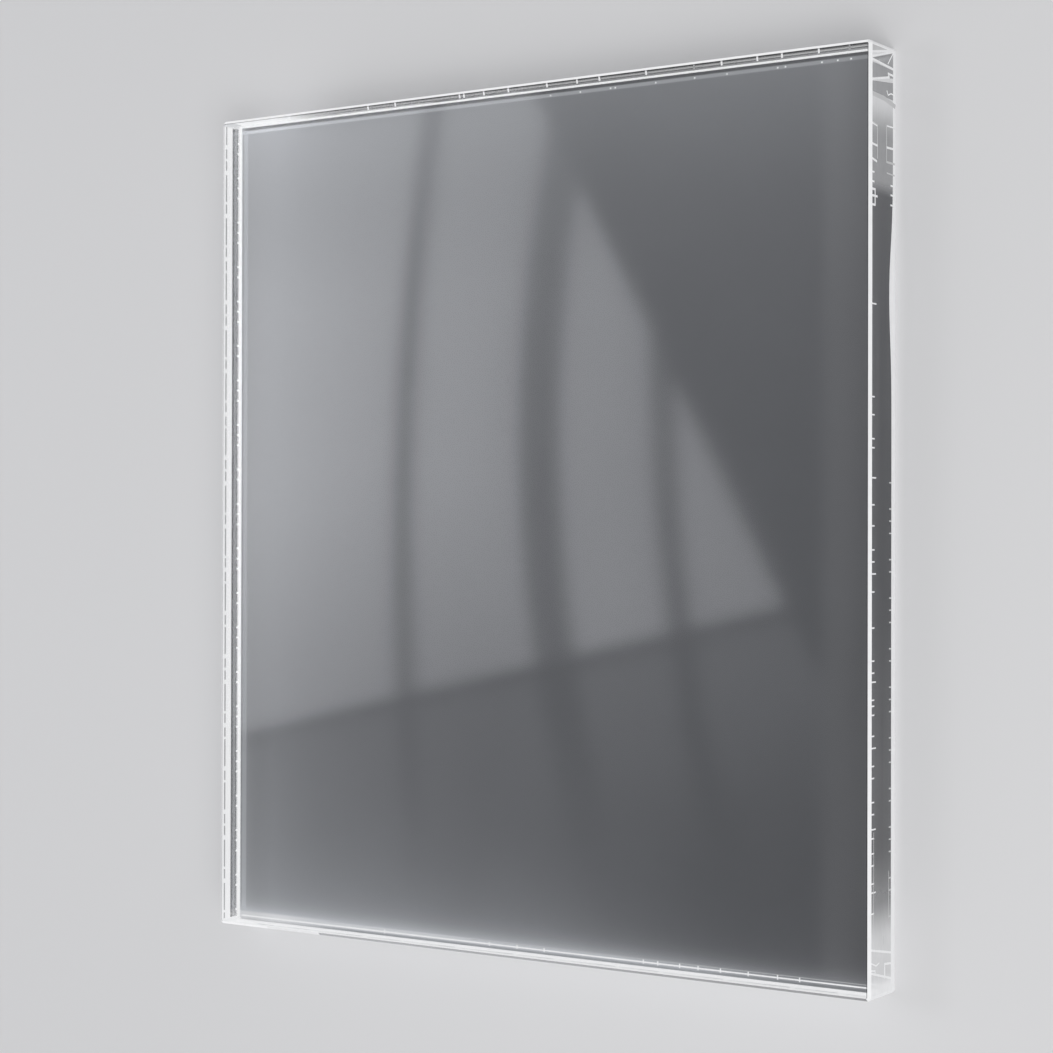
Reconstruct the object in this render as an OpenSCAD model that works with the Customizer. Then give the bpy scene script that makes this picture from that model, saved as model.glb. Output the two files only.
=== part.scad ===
// Frosted acrylic sheet: one cut piece of thick, clear cast acrylic with polished edges.
// It lies flat. X is its width, Y is its height as it is shown standing, Z is its thickness.
// The origin is the middle of the lower face, which is the frosted one.

/* [Sheet] */
// Width of the sheet, along X
sheet_width = 285; // [100:1:600]
// Height of the sheet, along Y
sheet_height = 320; // [100:1:800]
// Thickness of the sheet, along Z
sheet_thickness = 20; // [6:0.5:40]

/* [Edges] */
// Leg of the 45 degree arris scraped along every edge of both faces
arris_leg = 1; // [0.2:0.1:2]
// Radius of the corners of the two flat faces, inside their arrises
face_corner_radius = 0.6; // [0.2:0.1:20]

/* [Finish] */
// Colour that the frosted face gives the whole sheet
sheet_tint = "lightslategray"; // [lightslategray, silver, whitesmoke]

/* [Hidden] */
// Segments in a full turn of the eased corners
$fn = 96;
// Radius of the upright corners, which run parallel to the corners of the faces
upright_corner_radius = face_corner_radius + arris_leg;
// Distances between the centres of the eased corners
corner_span_x = sheet_width - 2 * upright_corner_radius;
corner_span_y = sheet_height - 2 * upright_corner_radius;

// Half of a section through the sheet, from its middle out to a finished edge
module half_section(reach) {
    polygon([
        [0, 0],
        [reach - arris_leg, 0],
        [reach, arris_leg],
        [reach, sheet_thickness - arris_leg],
        [reach - arris_leg, sheet_thickness],
        [0, sheet_thickness]
    ]);
}

// A straight run of the sheet along Y, with both of its long edges finished
module straight_run(across, along) {
    rotate([90, 0, 0])
        linear_extrude(height = along, center = true) {
            half_section(across / 2);
            mirror([1, 0]) half_section(across / 2);
        }
}

// An upright corner: the edge's own section turned about the corner's centre
module eased_corner() {
    rotate_extrude() half_section(upright_corner_radius);
}

// The whole sheet: two crossed runs, and the corners that join their edges
module sheet() {
    color(sheet_tint)
        union() {
            straight_run(sheet_width, corner_span_y);
            rotate([0, 0, 90]) straight_run(sheet_height, corner_span_x);
            for (x = [-1, 1], y = [-1, 1])
                translate([x * corner_span_x / 2, y * corner_span_y / 2, 0])
                    eased_corner();
        }
}

sheet();
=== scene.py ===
"""The looks of a thick acrylic sheet with a frosted back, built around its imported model."""

import math

import bmesh
import bpy
from bpy.props import FloatProperty, FloatVectorProperty, IntProperty, PointerProperty
from mathutils import Matrix, Vector
from mathutils.geometry import delaunay_2d_cdt


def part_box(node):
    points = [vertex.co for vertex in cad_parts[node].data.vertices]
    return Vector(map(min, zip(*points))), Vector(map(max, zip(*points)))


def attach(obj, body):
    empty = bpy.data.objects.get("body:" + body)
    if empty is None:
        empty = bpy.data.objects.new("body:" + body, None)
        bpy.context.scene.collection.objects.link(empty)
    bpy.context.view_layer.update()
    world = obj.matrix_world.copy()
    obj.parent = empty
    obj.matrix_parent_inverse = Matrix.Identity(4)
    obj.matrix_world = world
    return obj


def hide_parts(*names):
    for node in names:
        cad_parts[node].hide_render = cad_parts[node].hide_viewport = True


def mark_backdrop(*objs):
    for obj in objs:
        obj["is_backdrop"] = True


bl_info = {
    "name": "Frosted Acrylic Sheet",
    "version": (1, 0, 0),
    "blender": (4, 5, 0),
    "location": "3D View > Sidebar > Acrylic",
    "description": "A thick acrylic sheet: clear polished body, frosted back, scraped arrises",
    "category": "Add Mesh",
}

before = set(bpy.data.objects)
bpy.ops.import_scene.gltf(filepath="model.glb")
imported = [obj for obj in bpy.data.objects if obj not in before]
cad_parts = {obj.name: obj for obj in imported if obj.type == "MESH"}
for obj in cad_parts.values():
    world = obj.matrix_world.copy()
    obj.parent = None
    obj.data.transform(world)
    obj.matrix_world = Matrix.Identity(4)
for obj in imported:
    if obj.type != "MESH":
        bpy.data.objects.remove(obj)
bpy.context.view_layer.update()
LOW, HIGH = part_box("sheet")
WIDTH, HEIGHT, THICKNESS = HIGH - LOW
MM = 0.001


# Settings that a user would change

class SheetSettings(bpy.types.PropertyGroup):
    """Sizes of the sheet's worked edges"""

    arris_leg: FloatProperty(
        name="Arris leg", description="Leg of the 45 degree arris on every edge",
        default=1.0 * MM, min=0.2 * MM, max=2 * MM, unit="LENGTH", precision=5)
    corner_radius: FloatProperty(
        name="Corner radius", description="Radius of the upright corners",
        default=1.6 * MM, min=1.2 * MM, max=12 * MM, unit="LENGTH", precision=5)
    corner_steps: IntProperty(
        name="Corner steps", description="Facets in each eased corner", default=10, min=3, max=32)
    tick_pitch: FloatProperty(
        name="Tick pitch", description="Spacing of the short marks along the left and lower edges",
        default=5.2 * MM, min=2 * MM, unit="LENGTH", precision=5)
    # The hairline carries painted shade
    rim_width: FloatProperty(
        name="Rim width", description="Width of the hairline inside the arris of the polished face",
        default=0.35 * MM, min=0.1 * MM, unit="LENGTH", precision=5)


class FinishSettings(bpy.types.PropertyGroup):
    """Colours and gloss of the acrylic's finishes"""

    frost: FloatVectorProperty(
        name="Frosting", description="Colour of the frosted back seen through the body",
        subtype="COLOR", default=(0.0635, 0.0655, 0.073), min=0, max=1)
    # Painted light: the frosting is blended towards this colour where painted edge light lies on it
    painted_glow: FloatVectorProperty(
        name="Edge glow", description="Colour that the frosting reaches where light enters at an edge",
        subtype="COLOR", default=(0.612, 0.63, 0.66), min=0, max=1)
    scraped: FloatVectorProperty(
        name="Scraped acrylic", description="Colour of the scraped arrises and marks",
        subtype="COLOR", default=(0.90, 0.905, 0.915), min=0, max=1)
    face_roughness: FloatProperty(
        name="Face roughness", description="Roughness of the polished face",
        default=0.06, min=0, max=1)
    refraction: FloatProperty(
        name="Refraction", description="Refractive index of acrylic", default=1.49, min=1, max=2)
    # Painted shade: the share of dark diffuse mixed into the polished edges
    painted_edge_shade: FloatProperty(
        name="Edge shade", description="How much the polished edges hold back of what they mirror",
        default=0.3, min=0, max=1)
    # Painted light: the emission of scraped acrylic seen from outside
    painted_edge_glow: FloatProperty(
        name="Scraped glow", description="Light from inside the sheet in its scraped acrylic",
        default=0.10, min=0, max=1)
    # Painted light: the strong emission of scraped acrylic seen through the sheet
    painted_inner_glow: FloatProperty(
        name="Inner glow", description="The same where the acrylic is seen through the sheet",
        default=0.82, min=0, max=1)


class StageSettings(bpy.types.PropertyGroup):
    """The studio round the sheet, and the camera"""

    floor: FloatVectorProperty(
        name="Floor", description="Colour of the floor", subtype="COLOR",
        default=(0.72, 0.72, 0.73), min=0, max=1)
    backdrop: FloatVectorProperty(
        name="Backdrop", description="Colour that shows beyond the floor", subtype="COLOR",
        default=(0.80, 0.80, 0.81), min=0, max=1)
    sky_level: FloatProperty(
        name="Sky level", description="Strength of the even light from all round", default=0.62, min=0)
    key_power: FloatProperty(
        name="Key power", description="Power of the large soft lamp", default=7, min=0, unit="POWER")
    window_level: FloatProperty(
        name="Window level", description="Strength of the window light's panes", default=6.0, min=0)
    camera_distance: FloatProperty(
        name="Camera distance", description="From the aimed point to the camera",
        default=860 * MM, min=0.2, unit="LENGTH", precision=4)
    camera_tilt: FloatProperty(
        name="Camera tilt", description="Between the camera's axis and the sheet's normal",
        default=math.radians(33.96), subtype="ANGLE")
    camera_swing: FloatProperty(
        name="Camera swing", description="Of the camera round the sheet's normal, from +X",
        default=math.radians(-0.65), subtype="ANGLE")
    camera_roll: FloatProperty(
        name="Camera roll", description="Of the camera about its own axis",
        default=math.radians(0.13), subtype="ANGLE")
    camera_view: FloatProperty(
        name="Camera view", description="Angle of view across the picture",
        default=math.radians(25.16), subtype="ANGLE")


# Shader maths written as expressions

class Field:
    """A socket of a node tree that takes part in Python expressions"""

    def __init__(self, graph, socket):
        self.graph = graph
        self.socket = socket

    def maths(self, operation, *others):
        sockets = dict(enumerate((self, *others)))
        return self.graph.add("ShaderNodeMath", {"operation": operation}, sockets)

    def __add__(self, other):
        return self.maths("ADD", other)

    def __sub__(self, other):
        return self.maths("SUBTRACT", other)

    def __rsub__(self, other):
        return self.graph.add("ShaderNodeMath", {"operation": "SUBTRACT"}, {0: other, 1: self})

    def __mul__(self, other):
        return self.maths("MULTIPLY", other)

    def __truediv__(self, other):
        return self.maths("DIVIDE", other)

    def __abs__(self):
        return self.maths("ABSOLUTE")

    __radd__ = __add__
    __rmul__ = __mul__

    def least(self, other):
        return self.maths("MINIMUM", other)

    def most(self, other):
        return self.maths("MAXIMUM", other)

    def decay(self, length):
        """1 where the value is 0, and less by a factor of e for each length"""
        return (self / -length).maths("EXPONENT")

    def rise(self, start, end):
        """A smooth step from 0 at start to 1 at end, either way round"""
        low, high = min(start, end), max(start, end)
        step = self.graph.add(
            "ShaderNodeMapRange", {"interpolation_type": "SMOOTHSTEP"},
            {"Value": self, "From Min": low, "From Max": high})
        return step if start < end else 1 - step


class Graph:
    """Adds nodes to one node tree"""

    def __init__(self, owner):
        owner.use_nodes = True
        self.tree = owner.node_tree
        self.tree.nodes.clear()

    def add(self, kind, settings=None, sockets=None, output=0):
        """A new node with its settings, then its sockets' values or links, as its output's Field"""
        node = self.tree.nodes.new(kind)
        for name, value in (settings or {}).items():
            setattr(node, name, value)
        for key, value in (sockets or {}).items():
            if isinstance(value, Field):
                self.tree.links.new(value.socket, node.inputs[key])
            else:
                node.inputs[key].default_value = value
        return Field(self, node.outputs[output]) if node.outputs else None

    def place(self):
        """The x, y and z of the shaded point in its object's own space, in metres"""
        coordinates = self.add("ShaderNodeTexCoord", output="Object")
        return [self.add("ShaderNodeSeparateXYZ", None, {0: coordinates}, k) for k in range(3)]

    def noise(self, scale, detail=2.0, stretch=(1, 1, 1)):
        """Noise about 0.5 whose features are 1 / scale metres across, stretched along the axes"""
        coordinates = self.add("ShaderNodeTexCoord", output="Object")
        scaled = self.add(
            "ShaderNodeVectorMath", {"operation": "MULTIPLY"}, {0: coordinates, 1: stretch})
        return self.add(
            "ShaderNodeTexNoise", None, {"Vector": scaled, "Scale": scale, "Detail": detail})

    def blend(self, factor, first, second):
        """A colour between two colours"""
        return self.add(
            "ShaderNodeMix", {"data_type": "RGBA"}, {0: factor, 6: first, 7: second}, output=2)

    def bump(self, height, distance, strength=1.0):
        return self.add(
            "ShaderNodeBump", None, {"Height": height, "Distance": distance, "Strength": strength})

    def light_path(self, *names):
        """1 for the named kinds of ray and 0 for the rest"""
        kinds = [self.add("ShaderNodeLightPath", output=name) for name in names]
        total = kinds[0]
        for kind in kinds[1:]:
            total = total.most(kind)
        return total

    def mix_shader(self, factor, first, second):
        return self.add("ShaderNodeMixShader", None, {0: factor, 1: first, 2: second})

    def surface(self, shader):
        self.add("ShaderNodeOutputMaterial", None, {"Surface": shader})


def colour(values):
    return (*values[:3], 1.0)


def new_material(name):
    material = bpy.data.materials.new(name)
    return material, Graph(material)


# Finishes of the acrylic

LAMP_PASS = (0.90, 0.905, 0.91, 1.0)
# Near black, for painted shade: mixed into the polished edges, and laid as a dark line in the frosting
PAINTED_SHADE_DARK = (0.012, 0.012, 0.014, 1.0)


def clear_acrylic(graph, finish, roughness, normal=None, tint=(1, 1, 1, 1)):
    """Solid clear acrylic to the eye, which lets lamps through to what is behind it"""
    sockets = {
        "Base Color": tint, "Roughness": roughness,
        "IOR": finish.refraction, "Transmission Weight": 1.0}
    if normal is not None:
        sockets["Normal"] = normal
    body = graph.add("ShaderNodeBsdfPrincipled", None, sockets)
    passing = graph.add("ShaderNodeBsdfTransparent", None, {"Color": LAMP_PASS})
    lamps = graph.light_path("Is Shadow Ray", "Is Diffuse Ray")
    return graph.mix_shader(lamps, body, passing)


def polished_face_material(finish):
    """The cast face: glossy, with the faint waviness of cast acrylic and wiping marks"""
    material, graph = new_material("polished_face")
    wiping = graph.noise(38, 3, (1, 0.35, 1))
    roughness = finish.face_roughness * (0.85 + 0.3 * wiping)
    waviness = graph.noise(7, 0)
    normal = graph.bump(waviness, 0.05 * MM)
    graph.surface(clear_acrylic(graph, finish, roughness, normal))
    return material


def face_rim_material(finish):
    """The hairline inside the arris: a line of painted shade that dims the view through the face"""
    material, graph = new_material("face_rim")
    painted_shade_patches = graph.noise(120, 1)
    tint = graph.blend(painted_shade_patches, (0.22, 0.22, 0.23, 1), (0.34, 0.34, 0.35, 1))
    graph.surface(clear_acrylic(graph, finish, 0.1, None, tint))
    return material


def scraped_shader(graph, finish, shade=1.0, inner=False):
    """Matt white acrylic as a scraper leaves it, with streaks along the edges, lit by a painted
    emission: faint outside, strong where it is seen through the sheet
    """
    streaks = graph.noise(900, 3, (0.25, 0.25, 1))
    # Painted light: the scraped acrylic emits light, faintly outside and strongly where it is seen
    # through the sheet, where it keeps only a quarter of its colour
    painted_glow = finish.painted_inner_glow if inner else finish.painted_edge_glow
    own = 0.25 if inner else 1.0
    bright = [shade * c for c in finish.scraped]
    white = graph.blend(streaks, colour([0.86 * c for c in bright]), colour(bright))
    base = graph.blend(own, (0, 0, 0, 1), white) if inner else white
    normal = graph.bump(streaks, 0.04 * MM)
    return graph.add("ShaderNodeBsdfPrincipled", None, {
        "Base Color": base, "Roughness": 0.5, "IOR": finish.refraction, "Normal": normal,
        "Emission Color": white, "Emission Strength": painted_glow})


def scraped_material(name, finish, shade=1.0, inner=False):
    material, graph = new_material(name)
    graph.surface(scraped_shader(graph, finish, shade, inner))
    return material


def polished_edge_material(name, finish, haze_over, inner=False, painted_shade_scale=1.0):
    """A machined and polished edge, with its own haze, and painted shade mixed in as a dark diffuse,
    darkest a little below the middle of the thickness and in streaks along the edge
    """
    material, graph = new_material(name)
    x, y, z = graph.place()
    ripple = graph.noise(160, 1, (1, 1, 0.15))
    normal = graph.bump(ripple, 0.05 * MM)
    clear = clear_acrylic(graph, finish, 0.05, normal)
    streaks = graph.noise(420, 2, (0.03, 0.03, 1))
    # Painted shade: how much dark diffuse is mixed into the clear acrylic
    from_middle = abs(z - 0.55 * THICKNESS) / (0.45 * THICKNESS)
    painted_shade_level = painted_shade_scale * finish.painted_edge_shade
    shade = painted_shade_level * (1.15 - 0.55 * from_middle + 0.5 * (streaks - 0.5))
    dark = graph.add("ShaderNodeBsdfDiffuse", None, {"Color": PAINTED_SHADE_DARK})
    shader = graph.mix_shader(shade, clear, dark)
    if haze_over:
        patches = graph.noise(75, 2)
        haze = haze_over(x, y) * (0.88 + 0.24 * patches)
        shader = graph.mix_shader(haze, shader, scraped_shader(graph, finish, 1.0, inner))
    graph.surface(shader)
    return material


def right_painted_sheen(x, y):
    """Painted light at both ends of the right edge, mixed in as haze: a thick patch, then a thin one
    that stops short
    """
    from_top = HEIGHT / 2 - y
    from_bottom = HEIGHT / 2 + y
    upper = 0.28 * from_top.rise(52 * MM, 46 * MM) + 0.47 * from_top.rise(32 * MM, 18 * MM)
    lower = (
        0.06 * from_bottom.rise(150 * MM, 60 * MM) + 0.22 * from_bottom.rise(52 * MM, 26 * MM)
        + 0.45 * from_bottom.rise(33 * MM, 19 * MM) + 0.24 * from_bottom.rise(8 * MM, 3 * MM))
    return upper + lower


def thin_haze(x, y):
    """An even thin haze, for the panes between the painted reflection strokes at the top of the right
    edge, and for the foot of the left edge
    """
    return 0.28


def top_painted_sheen(x, y):
    """Painted light on the top edge, mixed in as haze, strongest at its left corner, over a faint even
    haze
    """
    from_left = x + WIDTH / 2
    near = 0.2 * from_left.rise(60 * MM, 36 * MM) + 0.72 * from_left.rise(43 * MM, 21 * MM)
    return 0.06 + near


def frosted_back_material(finish, leg):
    """The etched back: fine grain, faint clouds, and painted light and shade near its edges"""
    material, graph = new_material("frosted_back")
    x, y, _ = graph.place()
    left = x + WIDTH / 2
    right = WIDTH / 2 - x
    bottom = y + HEIGHT / 2
    top = HEIGHT / 2 - y
    sides = left.least(right)
    leftward = left.decay(150 * MM)
    # Painted light: thin bright lines in the frosting beside the top, bottom and side edges
    painted_top_line = top.rise(2.3 * MM, 2.7 * MM) * top.rise(4.0 * MM, 3.4 * MM)
    painted_bottom_line = bottom.rise(1.2 * MM, 1.6 * MM) * bottom.rise(3.6 * MM, 3.0 * MM)
    painted_side_line = sides.rise(1.9 * MM, 2.2 * MM) * sides.rise(4.6 * MM, 3.8 * MM)
    # Painted light: brighter in from the edges, most along the bottom towards the left and along the
    # top, with painted shade by the right edge
    painted_edge_light = (
        bottom.decay(3 * MM) * (
            0.55 + 0.8 * left.rise(285 * MM, 170 * MM) + 0.7 * leftward)
        + bottom.decay(30 * MM) * (
            0.05 + 0.26 * left.rise(235 * MM, 120 * MM) + 0.08 * left.rise(120 * MM, 60 * MM))
        + 0.25 * top.decay(28 * MM) + 0.05 * top.decay(120 * MM)
        + 0.13 * left.decay(60 * MM) + 0.13 * left.decay(12 * MM)
        - 0.09 * right.decay(14 * MM)
        + painted_top_line * (0.24 + 0.25 * leftward) + painted_bottom_line * (0.6 * leftward - 0.05)
        + 0.22 * painted_side_line)
    grain = graph.noise(2600, 2)
    clouds = graph.noise(22, 3)
    # Painted light: lighter towards the top
    painted_top_light = 0.045 + 0.05 * (y / (HEIGHT / 2))
    level = painted_edge_light + painted_top_light + 0.02 * (grain - 0.5) + 0.03 * (clouds - 0.5)
    base = graph.blend(level.most(0.0), colour(finish.frost), colour(finish.painted_glow))
    # Painted shade: a dark line just inside the rim at the top and bottom, away from the sides
    painted_shadow = sides.rise(1.8 * MM, 3 * MM) * (
        0.6 * top.rise(2.4 * MM, 2.1 * MM) + 0.2 * bottom.rise(1.5 * MM, 1.2 * MM))
    base = graph.blend(painted_shadow, base, PAINTED_SHADE_DARK)
    # Painted light: white at the lower left corner and along the bright line by the bottom
    corner = 0.8 * bottom.rise(4.4 * MM, 3.2 * MM) * left.rise(62 * MM, 18 * MM)
    painted_light_patch = corner.most(0.5 * painted_bottom_line * left.rise(170 * MM, 70 * MM))
    base = graph.blend(painted_light_patch, base, colour(finish.scraped))
    normal = graph.bump(grain, 0.01 * MM)
    shader = graph.add("ShaderNodeBsdfPrincipled", None, {
        "Base Color": base, "Roughness": 0.55, "IOR": finish.refraction, "Normal": normal})
    graph.surface(shader)
    return material


# Places on the edges, in millimetres: along the edge, which is x or y, then up from the back

# Finishes by material slot. Scraped acrylic seen through the sheet shines with painted light, and the
# polished edges and the rim carry painted shade.
(FACE, RIM, BACK, SCRAPED, SCRAPED_PAINTED_GLOW, GREYED,
 LEFT_EDGE, RIGHT_EDGE, PANE, TOP_EDGE, SHADED_FOOT) = range(11)
SIDES = {
    "right": ((1, 0), RIGHT_EDGE),
    "top": ((0, 1), TOP_EDGE),
    "left": ((-1, 0), LEFT_EDGE),
    # The bottom edge shines all over with painted light
    "bottom": ((0, -1), SCRAPED_PAINTED_GLOW),
}
# Cutter marks: the rungs that cross the top edge and the ticks at the front of the right edge;
# then painted glints in the frosting inside the top edge, and white dots inside the bottom edge
TOP_RUNGS = (-108, -69, -56, -26, -24, -15, -4, 13, 26, 35.5, 55, 85.5, 99.5, 109, 123)
FAINT_RUNGS = (74.5, 134.5)
RIGHT_TICKS = (
    72, 41, 35, 27, 24, 14, 5, -2, -10, -14, -18, -24, -36, -47, -51, -54,
    -60, -62, -65, -72, -76, -82, -86, -94, -98, -103, -106, -111, -115, -121, -124, -131)
BACK_GLINTS = (7, 20, 33, 35, 52, 68, 81, 101, 104, 118, 124, 129)
FOOT_DOTS = (-68.5, -19.5, -7, 5, 47.5, 53.5, 62.5, 70, 79, 90, 101.5, 110)
# How far the bright white of painted light at the lower left corner runs along the bottom edge, and
# where its paler part ends
CORNER_END = -118
PALE_END = -92
TURN = 0.6180339887
HALF_W = WIDTH / 2 / MM
HALF_H = HEIGHT / 2 / MM
TOP_Z = THICKNESS / MM


def scattered(start, end, pitch, spread):
    """Places from start to end at about the pitch, each shifted a little by a fixed rule"""
    count = max(1, round((end - start) / pitch))
    step = (end - start) / count
    return [start + step * (k + 0.5 + spread * ((k * TURN) % 1 - 0.5)) for k in range(count)]


def strip(finish, start, end, low, high):
    """A patch with square corners"""
    return finish, ((start, low), (end, low), (end, high), (start, high))


def stroke(finish, width, *path):
    """A patch for each straight run of a drawn line"""
    patches = []
    for start, end in zip(path, path[1:]):
        run = Vector(end) - Vector(start)
        ahead = run.normalized() * width / 2
        aside = Vector((-ahead.y, ahead.x))
        first = Vector(start) - ahead
        last = Vector(end) + ahead
        patches.append((finish, (first - aside, last - aside, last + aside, first + aside)))
    return patches


def back_band_height(place):
    """Top of the scraped band along the foot of the right edge, which swells once"""
    swell = math.exp(-((place - 76) / 20) ** 2)
    widen = 0.9 / (1 + math.exp((place - 96) / 5))
    return 3.1 + widen + 1.9 * swell


def right_patches(sheet):
    """Scraped band and cutter ticks, and near both ends of the right edge painted reflections: white
    and grey strokes with hazy panes between them
    """
    reach = HALF_H - sheet.corner_radius / MM
    count = 60
    crest = [reach * (1 - 2 * k / count) for k in range(count + 1)]
    band = [(-reach, 0.0), (reach, 0.0)] + [(place, back_band_height(place)) for place in crest]
    patches = [
        # Painted reflections near the top end of the edge: a grey patch and hazy panes between the
        # strokes
        (GREYED, ((155.6, 19), (reach, 19), (reach, 1.5), (158.9, 1.5))),
        (PANE, ((153.4, 19), (155.4, 19), (158.7, 1.5), (152.9, 1.5))),
        (PANE, ((147.2, 19), (152.6, 19), (152.0, 1.5), (149.6, 1.5))),
        (PANE, ((142.3, 19), (146.2, 19), (148.0, 1.5), (141.9, 1.5))),
        (SCRAPED, band),
    ]
    line = 0.75
    fine = 0.5
    # Painted reflections: white and grey strokes near both ends of the edge, drawn as lines
    for mark in (
        stroke(SCRAPED, line, (155.8, 19.4), (159.0, 2)),
        stroke(SCRAPED, line, (154.2, 19.4), (158.6, 2)),
        stroke(SCRAPED, line, (153.5, 19.4), (152.5, 2)),
        stroke(SCRAPED, fine, (158.0, 3), (153.8, 7)),
        stroke(SCRAPED, line, (146.7, 19.4), (149.3, 6.2), (150.4, 6.8), (150.3, 2)),
        stroke(GREYED, 1.6, (142.0, 19.4), (141.6, 10), (140.2, 2)),
        stroke(SCRAPED, fine, (144.4, 7.8), (143.2, 7), (144.0, 4.6), (143.8, 2)),
        stroke(GREYED, fine, (132.6, 19.4), (131.8, 15.1), (120.9, 15.1)),
        stroke(SCRAPED, fine, (132.2, 19.4), (131.6, 15.6)),
        stroke(SCRAPED, line, (125.3, 19.4), (125.0, 15.4)),
        stroke(SCRAPED, line, (120.4, 19.4), (119.7, 15.8)),
        stroke(GREYED, fine, (132.7, 2), (132.6, 8.1), (120.5, 8.1)),
        stroke(SCRAPED, fine, (132.8, 2), (132.7, 7.6)),
        stroke(SCRAPED, line, (125.5, 2), (125.4, 7.7)),
        stroke(GREYED, line, (120.5, 2), (120.5, 7.7)),
        stroke(GREYED, fine, (116.6, 2), (116.8, 7.7)),
        stroke(SCRAPED, line, (110.2, 19.4), (110.2, 16.9), (105, 16.9), (105, 19.4)),
        stroke(SCRAPED, line, (108, 19.4), (108, 15.4)),
        stroke(GREYED, fine, (-142.0, 9.6), (-139.6, 9.6)),
        stroke(SCRAPED, line, (-142.9, 19.4), (-145.9, 3)),
        stroke(SCRAPED, fine, (-147.2, 19.4), (-148.6, 15.4), (-148, 13.1)),
        stroke(SCRAPED, fine, (-149.7, 19.4), (-150.2, 16.1), (-151.5, 16.1)),
        stroke(SCRAPED, line, (-153.4, 8.8), (-148.9, 8.8), (-149.4, 3)),
        stroke(SCRAPED, line, (-150.6, 19.4), (-154.6, 3)),
    ):
        patches += mark
    for place in (115.9, 112.7):
        patches.append(strip(SCRAPED, place - 0.3, place + 0.3, 17.4, 19.4))
    for place in (112.9, 109.7, 106.3):
        patches.append(strip(SCRAPED, place - 0.3, place + 0.3, 0, 5))
    for k, place in enumerate(RIGHT_TICKS):
        foot = 17.0 if k % 5 else 15.8
        patches.append(strip(SCRAPED, place - 0.25, place + 0.25, foot, 19.4))
    for place in scattered(-134, 14, 1.15 * sheet.tick_pitch / MM, 0.8):
        crest = back_band_height(place)
        patches.append(strip(GREYED, place - 0.25, place + 0.25, crest - 0.1, crest + 1.7))
    patches.append(strip(GREYED, -137, -104, 17.2, 17.5))
    patches.append(strip(GREYED, -134, -118, 5.6, 5.9))
    return patches


def top_patches(sheet):
    """Rungs that the cutter left across the top edge, leaning more towards the left"""
    patches = []
    for place in (*TOP_RUNGS, *FAINT_RUNGS):
        foot = place - TOP_Z * (0.38 - 0.0006 * place)
        finish = GREYED if place in FAINT_RUNGS else SCRAPED_PAINTED_GLOW
        patches.append((finish, (
            (foot - 0.35, 0), (foot + 0.35, 0), (place + 0.35, TOP_Z), (place - 0.35, TOP_Z))))
    return patches


def left_patches(sheet):
    """Scraped upper part of the left edge, shining with painted light, with a scuffed line in it, and
    below it a band of painted shade
    """
    reach = HALF_H - sheet.corner_radius / MM
    patches = [
        strip(SCRAPED_PAINTED_GLOW, -reach, reach, 8.3, TOP_Z),
        strip(GREYED, -reach, reach, 14.0, 15.4),
        strip(SHADED_FOOT, -reach, reach, 3.2, 6.2),
    ]
    for k, place in enumerate(scattered(-156, 157, 1.5 * sheet.tick_pitch / MM, 0.9)):
        half = 0.9 if k % 2 else 0.5
        patches.append(strip(SCRAPED_PAINTED_GLOW, place - half, place + half, 13.5, 16))
    for place in scattered(-156, 157, 1.2 * sheet.tick_pitch / MM, 0.9):
        patches.append(strip(SCRAPED_PAINTED_GLOW, place - 0.4, place + 0.4, 0.5, 2.8))
    return patches


def bottom_patches(sheet):
    """Dashes of a scuffed line along the scraped bottom edge"""
    dash = 0.8 * sheet.tick_pitch / MM
    patches = [strip(SCRAPED_PAINTED_GLOW, -HALF_W, end, 0, TOP_Z) for end in (PALE_END, CORNER_END)]
    for k, place in enumerate(scattered(-128, 136, 2.1 * dash, 0.3)):
        patches.append(strip(SCRAPED, place - dash, place + dash, 5.4 + (k * TURN) % 1, 7.0))
    return patches


def back_patches():
    """Painted highlights in the frosting: white lines beside its arris, painted glints inside the top
    edge, and white dots and a grey line inside the bottom edge
    """
    end = HALF_W - 2.2
    side = HALF_H - 2.6
    patches = [
        # Painted highlights: white lines of shining scraped acrylic in the frosting beside the arris
        strip(SCRAPED_PAINTED_GLOW, -end, end, 1.75 - HALF_H, 2.25 - HALF_H),
        strip(SCRAPED_PAINTED_GLOW, -end, end, HALF_H - 1.2, HALF_H - 1.02),
        strip(SCRAPED_PAINTED_GLOW, 1.02 - HALF_W, 1.15 - HALF_W, -side, side),
        strip(GREYED, -28, end, 2.9 - HALF_H, 3.1 - HALF_H),
    ]
    # White dots in the frosting by the bottom edge, shining with painted light
    for place in FOOT_DOTS:
        patches.append(strip(SCRAPED_PAINTED_GLOW, place - 0.25, place + 0.25, 1.3 - HALF_H, 2.9 - HALF_H))
    # Painted glints: white spots inside the top edge
    low = HALF_H - 3.4
    for place in BACK_GLINTS:
        patches.append(strip(SCRAPED_PAINTED_GLOW, place - 0.3, place + 0.3, low, low + 0.6))
    return patches


PATCHES = {
    "right": right_patches, "top": top_patches, "left": left_patches, "bottom": bottom_patches}


# The sheet's mesh

SNAP = 1e-4


def counterclockwise(corners):
    """The corners of an outline, turned round if they run clockwise"""
    ahead = corners[1:] + corners[:1]
    area = sum(a[0] * b[1] - b[0] * a[1] for a, b in zip(corners, ahead))
    return corners if area > 0 else corners[::-1]


def panelled(outline, finish, patches):
    """Faces that fill an outline, as (corners, finish), with the later patches over the earlier"""
    shapes = [(finish, outline)] + patches
    points = []
    loops = []
    for _, corners in shapes:
        loops.append(list(range(len(points), len(points) + len(corners))))
        points += [Vector(corner) for corner in counterclockwise(list(corners))]
    spots, _, faces, _, _, origins = delaunay_2d_cdt(points, [], loops, 1, SNAP)
    return [
        ([spots[k] for k in face], shapes[max(origin)][0])
        for face, origin in zip(faces, origins) if 0 in origin]


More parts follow.
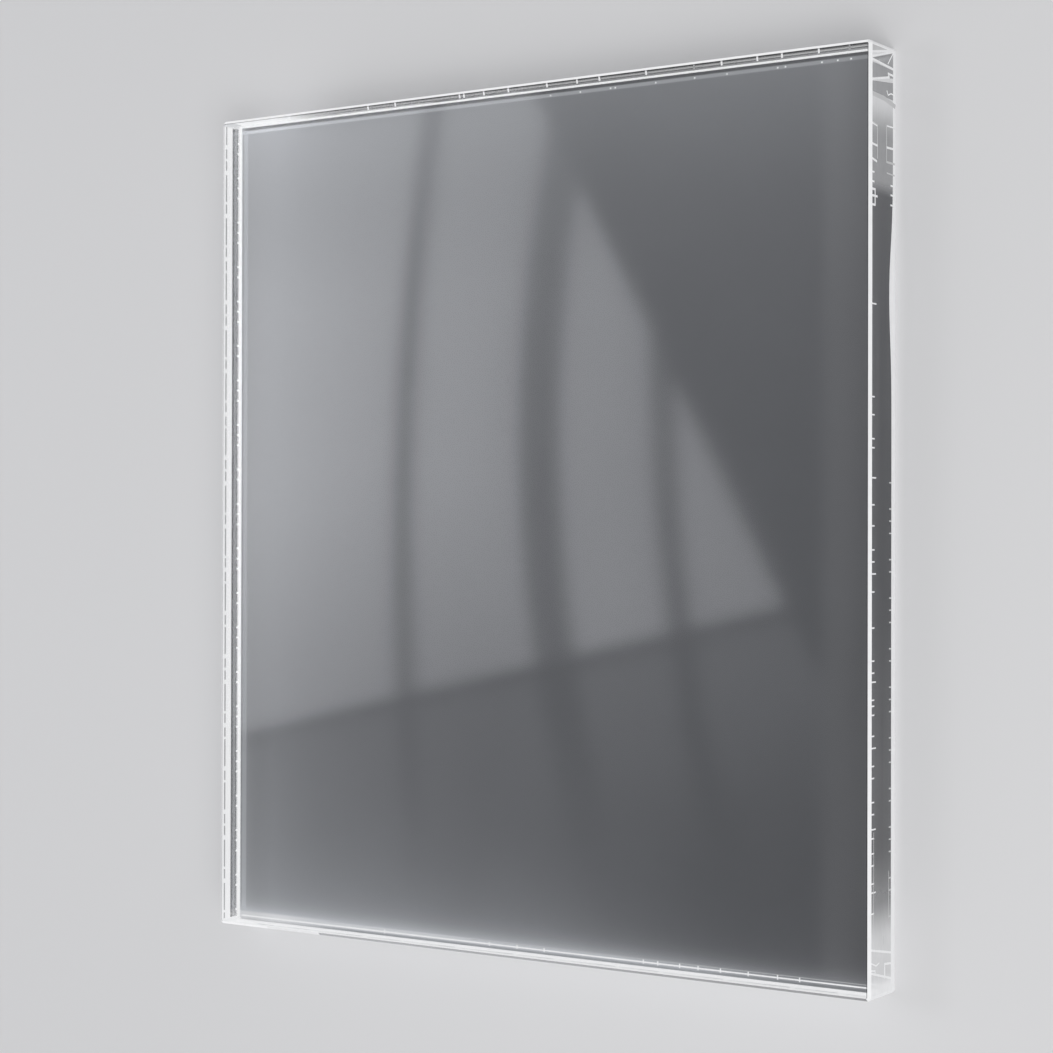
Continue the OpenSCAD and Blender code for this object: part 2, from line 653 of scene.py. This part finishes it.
class Edge:
    """One straight edge between two eased corners, filled with its patches"""

    def __init__(self, side, sheet):
        direction, finish = SIDES[side]
        self.normal = Vector((*direction, 0))
        self.axis = Vector((abs(direction[1]), abs(direction[0]), 0))
        self.sign = direction[0] - direction[1]
        self.offset = WIDTH / 2 if direction[0] else HEIGHT / 2
        half = HALF_H if direction[0] else HALF_W
        self.reach = half - sheet.corner_radius / MM
        self.low = sheet.arris_leg / MM
        self.high = TOP_Z - self.low
        outline = (
            (-self.reach, self.low), (self.reach, self.low),
            (self.reach, self.high), (-self.reach, self.high))
        self.panels = panelled(outline, finish, PATCHES[side](sheet))

    def point(self, place, height):
        return self.normal * self.offset + self.axis * place * MM + Vector((0, 0, height * MM))

    def places(self, height):
        """Where the panels have corners at a height, in order round the sheet"""
        found = {round(p.x, 4) for corners, _ in self.panels for p in corners
                 if abs(p.y - height) < SNAP}
        return sorted(found, key=lambda place: place * self.sign)

    def column(self, place):
        """Heights at which the panels have corners at one end"""
        return sorted({round(p.y, 4) for corners, _ in self.panels for p in corners
                       if abs(p.x - place) < SNAP})

    def row(self, height):
        """(point, normal) of each corner at a height, in order round the sheet"""
        return [(self.point(place, height), self.normal) for place in self.places(height)]


class Shell:
    """Collects faces with their finishes, and joins them into one closed mesh"""

    def __init__(self):
        self.mesh = bmesh.new()

    def face(self, corners, finish):
        verts = [self.mesh.verts.new(corner) for corner in corners]
        self.mesh.faces.new(verts).material_index = finish

    def band(self, lower, upper, finish):
        """Faces between two rings with as many points, of one finish or of one for each face"""
        for k in range(len(lower)):
            after = (k + 1) % len(lower)
            chosen = finish[k] if isinstance(finish, list) else finish
            self.face((lower[k], lower[after], upper[after], upper[k]), chosen)

    def closed(self, name):
        bmesh.ops.remove_doubles(self.mesh, verts=self.mesh.verts, dist=2e-7)
        bmesh.ops.recalc_face_normals(self.mesh, faces=self.mesh.faces)
        if any(not edge.is_manifold for edge in self.mesh.edges):
            raise RuntimeError("The sheet's faces don't close")
        data = bpy.data.meshes.new(name)
        self.mesh.to_mesh(data)
        self.mesh.free()
        return data


def corner_stations(edge, after, sheet):
    """(point at z = 0, normal) across the eased corner between two edges, ends included"""
    radius = sheet.corner_radius
    centre = edge.normal * (edge.offset - radius) + after.normal * (after.offset - radius)
    stations = []
    for k in range(sheet.corner_steps + 1):
        angle = math.pi / 2 * k / sheet.corner_steps
        normal = edge.normal * math.cos(angle) + after.normal * math.sin(angle)
        stations.append((centre + normal * radius, normal))
    return stations


def along(row, way):
    """Whether each point of a row lies on the top edge, or on the bottom edge if way is -1"""
    return [way * normal.y > 0.99 for _, normal in row]


def build_sheet_mesh(sheet):
    """The whole sheet as one closed mesh, with a material index for each finish"""
    leg = sheet.arris_leg
    half_leg = leg / 2
    rim = min(sheet.rim_width, 0.9 * (sheet.corner_radius - leg))
    shell = Shell()
    edges = [Edge(side, sheet) for side in SIDES]
    lower_row = []
    upper_row = []
    for k, edge in enumerate(edges):
        after = edges[(k + 1) % len(edges)]
        for corners, finish in edge.panels:
            shell.face([edge.point(p.x, p.y) for p in corners], finish)
        stations = corner_stations(edge, after, sheet)
        plain = (edge.low, edge.high)
        columns = [plain] * len(stations)
        columns[0] = edge.column(edge.reach * edge.sign)
        columns[-1] = after.column(-after.reach * after.sign)
        for j in range(len(stations) - 1):
            here = [stations[j][0] + Vector((0, 0, z * MM)) for z in columns[j]]
            there = [stations[j + 1][0] + Vector((0, 0, z * MM)) for z in columns[j + 1]]
            # The eased corner at the lower left shines with painted light; the others are plain
            # scraped acrylic
            shell.face(here[:1] + there + here[:0:-1], SCRAPED_PAINTED_GLOW if edge.normal.x < 0 else SCRAPED)
        lower_row += edge.row(edge.low)
        upper_row += edge.row(edge.high)
        for point, normal in stations[1:-1]:
            lower_row.append((point + Vector((0, 0, leg)), normal))
            upper_row.append((point + Vector((0, 0, THICKNESS - leg)), normal))
    down = Vector((0, 0, -1))
    ring = [point for point, _ in lower_row]
    middle = [point + (down - normal) * half_leg for point, normal in lower_row]
    inner = [point + (down - normal) * leg for point, normal in lower_row]
    # The back arris in two halves: shining with painted light, except the outer half along the top, a
    # polished edge with painted shade, and the inner half along the bottom, frosting
    shell.band(middle, ring, [TOP_EDGE if is_top else SCRAPED_PAINTED_GLOW for is_top in along(lower_row, 1)])
    shell.band(inner, middle, [BACK if is_foot else SCRAPED_PAINTED_GLOW for is_foot in along(lower_row, -1)])
    ring = [point for point, _ in upper_row]
    crest = [point - (down + normal) * leg for point, normal in upper_row]
    inside = [top - normal * rim for top, (_, normal) in zip(crest, upper_row)]
    top = along(upper_row, 1)
    foot = along(upper_row, -1)
    # The front arris: shining with painted light along the top and at the lower left corner, clear
    # with haze along the rest of the bottom, plain scraped elsewhere
    front = []
    for k, (point, _) in enumerate(upper_row):
        if top[k] or point.x < (CORNER_END - 0.1) * MM:
            front.append(SCRAPED_PAINTED_GLOW)
        elif foot[k] and point.x > (PALE_END - 0.1) * MM:
            front.append(PANE)
        else:
            front.append(SCRAPED)
    shell.band(ring, crest, front)
    # Inside the front arris, a hairline of painted shade, except along the bottom
    shell.band(crest, inside, [FACE if is_foot else RIM for is_foot in foot])
    shell.face(inside, FACE)
    outline = [(point.x / MM, point.y / MM) for point in inner]
    for corners, finish in panelled(outline, BACK, back_patches()):
        shell.face([Vector((p.x, p.y, 0)) * MM for p in corners], finish)
    return shell.closed("sheet_body")


class ACRYLIC_OT_sheet(bpy.types.Operator):
    """Build the sheet, with its polished, scraped and frosted finishes"""

    bl_idname = "acrylic.sheet"
    bl_label = "Frosted sheet"

    def execute(self, context):
        sheet = context.scene.acrylic_sheet
        finish = context.scene.acrylic_finish
        body = bpy.data.objects.new("sheet_body", build_sheet_mesh(sheet))
        context.scene.collection.objects.link(body)
        for material in (
            polished_face_material(finish),
            face_rim_material(finish),
            frosted_back_material(finish, sheet.arris_leg),
            scraped_material("scraped_acrylic", finish),
            scraped_material("scraped_inside_painted_glow", finish, 1.0, True),
            scraped_material("scuffed_acrylic", finish, 0.62),
            # The last number scales each polished edge's painted shade
            polished_edge_material("left_edge", finish, None, False, 1.7),
            polished_edge_material("right_edge", finish, right_painted_sheen),
            polished_edge_material("right_panes", finish, thin_haze),
            polished_edge_material("top_edge", finish, top_painted_sheen, True, 2.3),
            polished_edge_material("left_foot", finish, thin_haze, False, 1.7),
        ):
            body.data.materials.append(material)
        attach(body, "root")
        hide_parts("sheet")
        return {"FINISHED"}


# The stage

FLOOR_GAP = 0.3 * MM
FLOOR_REACH = 12.0
WINDOW_HEIGHT = 1.10


def camera_place(stage):
    """Where the camera stands, which way is back from its view, and the point it aims at"""
    aim = Vector((4.8 * MM, -2.0 * MM, THICKNESS))
    away = Vector((
        math.sin(stage.camera_tilt) * math.cos(stage.camera_swing),
        math.sin(stage.camera_tilt) * math.sin(stage.camera_swing),
        math.cos(stage.camera_tilt)))
    return aim + away * stage.camera_distance, away, aim


def add_camera(context, stage):
    place, away, _ = camera_place(stage)
    right = Vector((0, 1, 0)).cross(away).normalized()
    up = away.cross(right)
    turn = Matrix((right, up, away)).transposed().to_4x4()
    data = bpy.data.cameras.new("camera")
    data.lens_unit = "FOV"
    data.angle = stage.camera_view
    camera = bpy.data.objects.new("camera", data)
    camera.matrix_world = (
        Matrix.Translation(place) @ turn @ Matrix.Rotation(stage.camera_roll, 4, "Z"))
    context.scene.collection.objects.link(camera)
    context.scene.camera = camera


def plane(context, name, low, high):
    """A flat rectangle in its own XY plane"""
    data = bpy.data.meshes.new(name)
    corners = [(low[0], low[1], 0), (high[0], low[1], 0), (high[0], high[1], 0), (low[0], high[1], 0)]
    data.from_pydata(corners, [], [(0, 1, 2, 3)])
    thing = bpy.data.objects.new(name, data)
    context.scene.collection.objects.link(thing)
    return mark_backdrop(thing) or thing


def add_floor(context, stage):
    floor = plane(context, "floor", (-FLOOR_REACH, -FLOOR_REACH), (FLOOR_REACH, FLOOR_REACH))
    floor.location.z = LOW.z - FLOOR_GAP
    material, graph = new_material("floor")
    graph.surface(graph.add(
        "ShaderNodeBsdfDiffuse", None, {"Color": colour(stage.floor), "Roughness": 0.0}))
    floor.data.materials.append(material)


def add_sky(context, stage):
    """Even light from all round, which shows as the pale backdrop"""
    world = bpy.data.worlds.new("sky")
    context.scene.world = world
    graph = Graph(world)
    seen = graph.light_path("Is Camera Ray", "Is Glossy Ray", "Is Transmission Ray")
    light = colour([stage.sky_level] * 3)
    shown = graph.blend(seen, light, colour(stage.backdrop))
    background = graph.add("ShaderNodeBackground", None, {"Color": shown, "Strength": 1.0})
    graph.add("ShaderNodeOutputWorld", None, {"Surface": background})


def add_soft_lamp(context, name, place, aim, size, power):
    data = bpy.data.lights.new(name, "AREA")
    data.shape = "RECTANGLE"
    data.size = size[0]
    data.size_y = size[1]
    data.energy = power
    lamp = bpy.data.objects.new(name, data)
    away = (Vector(place) - Vector(aim)).normalized()
    lamp.matrix_world = Matrix.Translation(place) @ away.to_track_quat("Z", "Y").to_matrix().to_4x4()
    context.scene.collection.objects.link(lamp)
    return lamp


# Each bar of the window: where it bends most, how much it bends, and its width
WINDOW_BARS = (
    (-51.7 * MM, -10 * MM, 0.52, 9 * MM),
    (10.2 * MM, 34 * MM, 1.0, 17.5 * MM),
    (62.0 * MM, 60 * MM, 0.8, 10 * MM),
)
BAR_PASS = 0.16
WINDOW_SOFT = 1.8 * MM
WINDOW_LOW = (-131.5 * MM, -160 * MM)
WINDOW_HIGH = (125 * MM, 156.5 * MM)


def window_light(graph):
    """How bright the window light is at each point, from 0 to 1, in the sheet's own measure"""
    x, y, _ = graph.place()
    open_pane = None
    for middle, bend_at, bend, width in WINDOW_BARS:
        shift = y - bend_at
        apart = abs(x - middle - bend * shift * shift)
        beside = apart.rise(width / 2 - WINDOW_SOFT, width / 2 + WINDOW_SOFT)
        clear = BAR_PASS + (1 - BAR_PASS) * beside
        open_pane = clear if open_pane is None else open_pane * clear
    slope = y + 1.79 * (x - 26.8 * MM) - 121 * MM
    under_rake = slope.rise(2 * WINDOW_SOFT, -2 * WINDOW_SOFT)
    over_sill = y - 0.2246 * (x + 127 * MM) + 85 * MM
    upper = over_sill.rise(0.5 * WINDOW_SOFT, 2.2 * WINDOW_SOFT)
    lower = over_sill.rise(-0.5 * WINDOW_SOFT, -2.2 * WINDOW_SOFT) * over_sill.rise(-90 * MM, -10 * MM)
    fall = (x + 131.5 * MM).decay(295 * MM)
    dim = (
        0.44 * y.rise(30 * MM, -90 * MM) * x.rise(45 * MM, -20 * MM)
        + 0.22 * y.rise(75 * MM, 130 * MM))
    return fall * (1 - dim) * open_pane * under_rake * (upper + 0.27 * lower)


def add_window(context, stage):
    """A window-shaped lamp, placed where the polished face mirrors it to the camera"""
    place, _, _ = camera_place(stage)
    ratio = (WINDOW_HEIGHT - THICKNESS) / (place.z - THICKNESS)
    window = plane(context, "window_light", WINDOW_LOW, WINDOW_HIGH)
    window.location = (-ratio * place.x, -ratio * place.y, WINDOW_HEIGHT)
    window.scale = (1 + ratio, 1 + ratio, 1)
    window.visible_camera = False
    window.visible_shadow = False
    material, graph = new_material("window_light")
    bright = graph.blend(window_light(graph), (0, 0, 0, 1), (0.94, 0.953, 1, 1))
    graph.surface(graph.add(
        "ShaderNodeEmission", None, {"Color": bright, "Strength": stage.window_level}))
    window.data.materials.append(material)


class ACRYLIC_OT_stage(bpy.types.Operator):
    """Build the pale floor, the soft studio light and the camera"""

    bl_idname = "acrylic.stage"
    bl_label = "Studio stage"

    def execute(self, context):
        stage = context.scene.acrylic_stage
        add_camera(context, stage)
        add_floor(context, stage)
        add_sky(context, stage)
        add_window(context, stage)
        add_soft_lamp(
            context, "key_lamp", (0.9, -0.5, 1.1), (0, 0, 0), (0.9, 0.9), stage.key_power)
        context.scene.view_settings.view_transform = "Standard"
        return {"FINISHED"}


class ACRYLIC_PT_panel(bpy.types.Panel):
    """Lists the sheet's settings and operators"""

    bl_idname = "ACRYLIC_PT_panel"
    bl_label = "Frosted acrylic sheet"
    bl_space_type = "VIEW_3D"
    bl_region_type = "UI"
    bl_category = "Acrylic"

    def draw(self, context):
        scene = context.scene
        for group, operator in (
            (scene.acrylic_sheet, None),
            (scene.acrylic_finish, ACRYLIC_OT_sheet.bl_idname),
            (scene.acrylic_stage, ACRYLIC_OT_stage.bl_idname),
        ):
            box = self.layout.box()
            for name in group.__annotations__:
                box.prop(group, name)
            if operator:
                box.operator(operator)


CLASSES = (
    SheetSettings, FinishSettings, StageSettings,
    ACRYLIC_OT_sheet, ACRYLIC_OT_stage, ACRYLIC_PT_panel,
)


def register():
    for cls in CLASSES:
        bpy.utils.register_class(cls)
    bpy.types.Scene.acrylic_sheet = PointerProperty(type=SheetSettings)
    bpy.types.Scene.acrylic_finish = PointerProperty(type=FinishSettings)
    bpy.types.Scene.acrylic_stage = PointerProperty(type=StageSettings)


def unregister():
    del bpy.types.Scene.acrylic_stage
    del bpy.types.Scene.acrylic_finish
    del bpy.types.Scene.acrylic_sheet
    for cls in reversed(CLASSES):
        bpy.utils.unregister_class(cls)


def main():
    register()
    bpy.ops.acrylic.sheet()
    bpy.ops.acrylic.stage()


if __name__ == "__main__":
    main()
